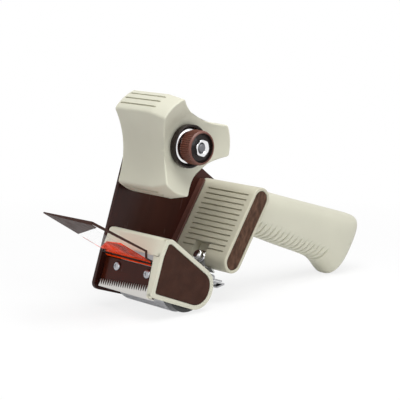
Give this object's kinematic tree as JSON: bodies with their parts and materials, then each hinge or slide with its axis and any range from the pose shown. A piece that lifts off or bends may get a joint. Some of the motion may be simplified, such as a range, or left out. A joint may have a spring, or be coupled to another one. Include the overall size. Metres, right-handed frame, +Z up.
{
  "type": "packing tape dispenser",
  "caption": "Hand-held packing tape dispenser: side frame with a lobed spinning hub, wiping roller, serrated blade, sprung flap, tape retainer and angled grip.",
  "frame": {"origin": "centre of the bounding box at the surface that the tool stands on", "axes": "+Z up, -X towards the flap and blade, +X towards the grip's end, +Y towards the side frame; roller, hub and hinges turn about Y"},
  "size_m": [0.2872, 0.0666, 0.1527],
  "materials": {
    "beige": "fine satin moulding",
    "brown_gloss": "glossy",
    "brown_inlay": "fine leather grain",
    "brown_flap": "satin",
    "dark_brown": "glossy",
    "knob_brown": "satin, knurled",
    "black": "satin",
    "nylon": "satin",
    "grey_rubber": "matt",
    "steel": "zinc plated",
    "chrome": "bright",
    "clear_film": "clear film",
    "orange_film": "see-through"
  },
  "bodies": {
    "frame": {"side_frame": "brown_gloss", "frame_screw_1": "steel", "frame_screw_2": "steel", "frame_screw_3": "steel", "frame_screw_4": "steel", "frame_screw_5": "steel", "grip_housing": "beige", "housing_side_inlay": "brown_inlay", "nose_cover": "beige", "nose_side_inlay": "brown_inlay", "blade_carrier": "dark_brown", "cutter_blade": "steel", "blade_screw_1": "chrome", "blade_screw_2": "chrome", "grip_half_open_side": "beige", "grip_half_frame_side": "beige", "grip_screw_1": "steel", "grip_screw_2": "steel", "grip_screw_3": "steel", "grip_bracket": "steel", "bracket_rivet_1": "steel", "bracket_rivet_2": "steel", "hub_spindle": "steel", "hub_back_washer": "nylon", "brake_cup": "dark_brown", "dished_washer": "chrome", "tension_spring": "steel", "roller_axle": "steel", "retainer_bracket": "steel", "retainer_pin": "steel", "retainer_washer": "chrome", "retainer_screw": "chrome", "flap_pin": "steel"},
    "hub": {"tape_hub": "beige", "hub_bush_open_side": "nylon", "hub_bush_frame_side": "nylon"},
    "thrust": {"thrust_washer": "steel"},
    "knob": {"tension_knob": "knob_brown", "knob_nut": "chrome"},
    "roller": {"roller_core": "nylon", "roller_sleeve": "grey_rubber", "roller_end_cap": "black", "roller_bush": "nylon"},
    "flap": {"flap_hinge_bar": "dark_brown", "flap_film": "clear_film", "flap_orange_panel": "orange_film", "flap_tip_plate": "brown_flap"},
    "retainer": {"tape_retainer": "steel"}
  },
  "joints": [
    {"name": "hub_spin", "type": "hinge", "parent": "frame", "child": "hub", "pos_m": [-0.0526, 0.0008, 0.11643], "axis": [0, 1, 0], "continuous": true},
    {"name": "thrust_slide", "type": "slide", "parent": "frame", "child": "thrust", "axis": [0, 1, 0], "range_m": [-0.001, 0.00033]},
    {"name": "knob_turn", "type": "hinge", "parent": "thrust", "child": "knob", "pos_m": [-0.0526, -0.0297, 0.11643], "axis": [0, 1, 0], "range_deg": [-360, 120]},
    {"name": "roller_spin", "type": "hinge", "parent": "frame", "child": "roller", "pos_m": [-0.05949, 0.0048, 0.01893], "axis": [0, 1, 0], "continuous": true},
    {"name": "flap_swing", "type": "hinge", "parent": "frame", "child": "flap", "pos_m": [-0.08648, 0.0033, 0.03833], "axis": [0, 1, 0], "range_deg": [-30, 25], "stiffness_Nm_per_rad": 0.15},
    {"name": "retainer_flex", "type": "hinge", "parent": "frame", "child": "retainer", "pos_m": [-0.03067, 0.00065, 0.02047], "axis": [0, 1, 0], "range_deg": [-12, 2], "stiffness_Nm_per_rad": 0.4}
  ],
  "couplings": [
    {"joint": "knob_turn", "follows": "thrust_slide", "rad_per_m": 6283.2}
  ]
}
